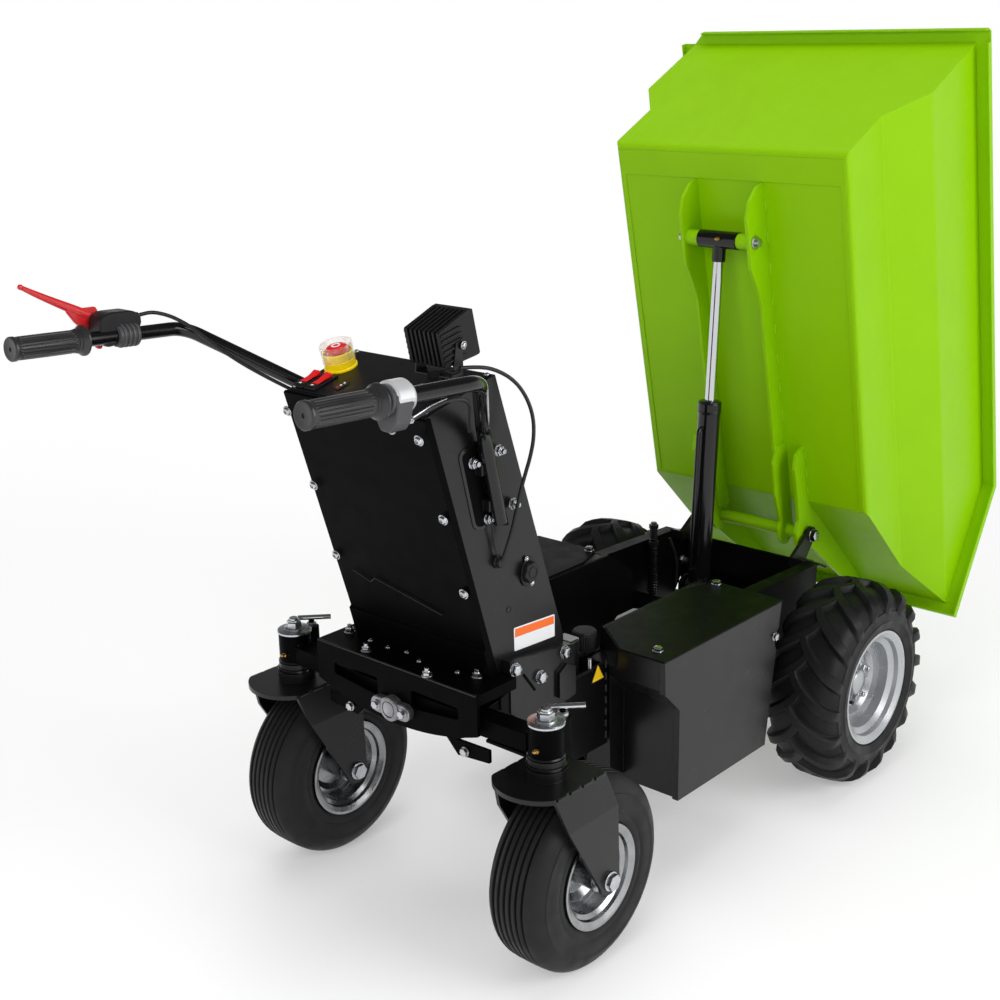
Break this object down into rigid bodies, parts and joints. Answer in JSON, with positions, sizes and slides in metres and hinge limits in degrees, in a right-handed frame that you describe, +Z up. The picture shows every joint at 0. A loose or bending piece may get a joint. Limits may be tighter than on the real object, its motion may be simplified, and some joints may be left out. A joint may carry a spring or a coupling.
{
  "type": "site dumper",
  "caption": "Electric walk-behind mini dumper: tipping steel bed on a hydraulic ram, lugged drive wheels, swivel rear wheels on a rocking axle, control console with handlebars.",
  "frame": {"origin": "on the floor, under the middle of the machine's bounding box", "axes": "+X forward from the operator's handles to the bed, +Y to the machine's left, +Z up"},
  "size_m": [1.9041, 0.746, 1.4243],
  "materials": {
    "green_paint": "gloss powder coat",
    "black_paint": "satin powder coat",
    "rim_paint": "silver paint",
    "zinc": "zinc plated",
    "chrome": "hard chrome",
    "tyre_rubber": "matt black rubber",
    "grip_rubber": "ribbed rubber",
    "black_plastic": "moulded",
    "red_plastic": "moulded",
    "yellow_plastic": "moulded",
    "clear_plastic": "clear polycarbonate",
    "red_coat": "red powder coat",
    "lamp_body": "black anodised casting",
    "lead_sheath": "black sheath"
  },
  "bodies": {
    "chassis": {"main_frame": "black_paint", "rear_deck": "black_paint", "axle_bearing": "zinc", "battery_box_left": "black_paint", "battery_box_right": "black_paint", "box_covers": "black_paint", "power_unit": "black_paint", "oil_tank": "black_plastic", "drive_unit": "black_paint", "hinge_brackets": "black_paint", "ram_bracket": "black_paint", "console_shell": "black_paint", "console_cover": "black_paint", "console_brackets": "black_paint", "console_top": "black_plastic", "stop_base": "yellow_plastic", "stop_button": "red_plastic", "stop_guard": "clear_plastic", "rocker_switches": "red_plastic", "socket_cap": "black_plastic", "work_lamp": "lamp_body", "lamp_bracket": "black_paint", "handles": "black_paint", "grips": "grip_rubber", "handle_clamps": "black_paint", "throttle_housing": "black_plastic", "brake_mount": "black_plastic", "brake_lever": "red_coat", "lamp_lead": "lead_sheath", "brake_cable": "lead_sheath", "throttle_cable": "lead_sheath", "hydraulic_hose": "lead_sheath"},
    "axle": {"axle_beam": "black_paint", "swivel_locks": "black_paint", "lock_handles": "chrome"},
    "bed": {"bed_tub": "green_paint", "bed_frame": "green_paint", "eye_pin_heads": "zinc"},
    "cylinder": {"ram_barrel": "black_paint"},
    "rod": {"ram_rod": "chrome", "rod_eye": "black_paint", "eye_spacers": "green_paint"},
    "drive_wheel_left": {"drive_rim_left": "rim_paint", "drive_tyre_left": "tyre_rubber"},
    "caster_left": {"fork_left": "black_paint", "kingpin_cap_left": "zinc", "caster_axle_left": "zinc"},
    "caster_wheel_left": {"caster_rim_left": "rim_paint", "caster_tyre_left": "tyre_rubber"},
    "drive_wheel_right": {"drive_rim_right": "rim_paint", "drive_tyre_right": "tyre_rubber"},
    "caster_right": {"fork_right": "black_paint", "kingpin_cap_right": "zinc", "caster_axle_right": "zinc"},
    "caster_wheel_right": {"caster_rim_right": "rim_paint", "caster_tyre_right": "tyre_rubber"}
  },
  "joints": [
    {"name": "drive_spin_left", "type": "hinge", "parent": "chassis", "child": "drive_wheel_left", "pos_m": [0.42, 0.295, 0.201], "axis": [0, 1, 0], "continuous": true},
    {"name": "drive_spin_right", "type": "hinge", "parent": "chassis", "child": "drive_wheel_right", "pos_m": [0.42, -0.295, 0.201], "axis": [0, 1, 0], "continuous": true},
    {"name": "axle_oscillate", "type": "hinge", "parent": "chassis", "child": "axle", "pos_m": [-0.505, 0, 0.394], "axis": [1, 0, 0], "range_deg": [-6, 6]},
    {"name": "caster_swivel_left", "type": "hinge", "parent": "axle", "child": "caster_left", "pos_m": [-0.485, 0.287, 0.394], "axis": [0, 0, 1], "continuous": true},
    {"name": "caster_spin_left", "type": "hinge", "parent": "caster_left", "child": "caster_wheel_left", "pos_m": [-0.418, 0.287, 0.1645], "axis": [0, 1, 0], "continuous": true},
    {"name": "caster_swivel_right", "type": "hinge", "parent": "axle", "child": "caster_right", "pos_m": [-0.485, -0.287, 0.394], "axis": [0, 0, 1], "continuous": true},
    {"name": "caster_spin_right", "type": "hinge", "parent": "caster_right", "child": "caster_wheel_right", "pos_m": [-0.418, -0.287, 0.1645], "axis": [0, 1, 0], "continuous": true},
    {"name": "bed_tip", "type": "hinge", "parent": "chassis", "child": "bed", "pos_m": [0.543, 0, 0.434], "axis": [0, -1, 0], "range_deg": [0, 78]},
    {"name": "cylinder_swing", "type": "hinge", "parent": "chassis", "child": "cylinder", "pos_m": [0.34, 0, 0.345], "axis": [0, -1, 0], "range_deg": [0, 85.6]},
    {"name": "rod_retract", "type": "slide", "parent": "cylinder", "child": "rod", "axis": [-0.065, 0, -0.9979], "range_m": [0, 0.27023]}
  ],
  "couplings": [
    {"joint": "cylinder_swing", "follows": "bed_tip", "ratio": 1.0957},
    {"joint": "rod_retract", "follows": "bed_tip", "m_per_rad": 0.19806}
  ]
}
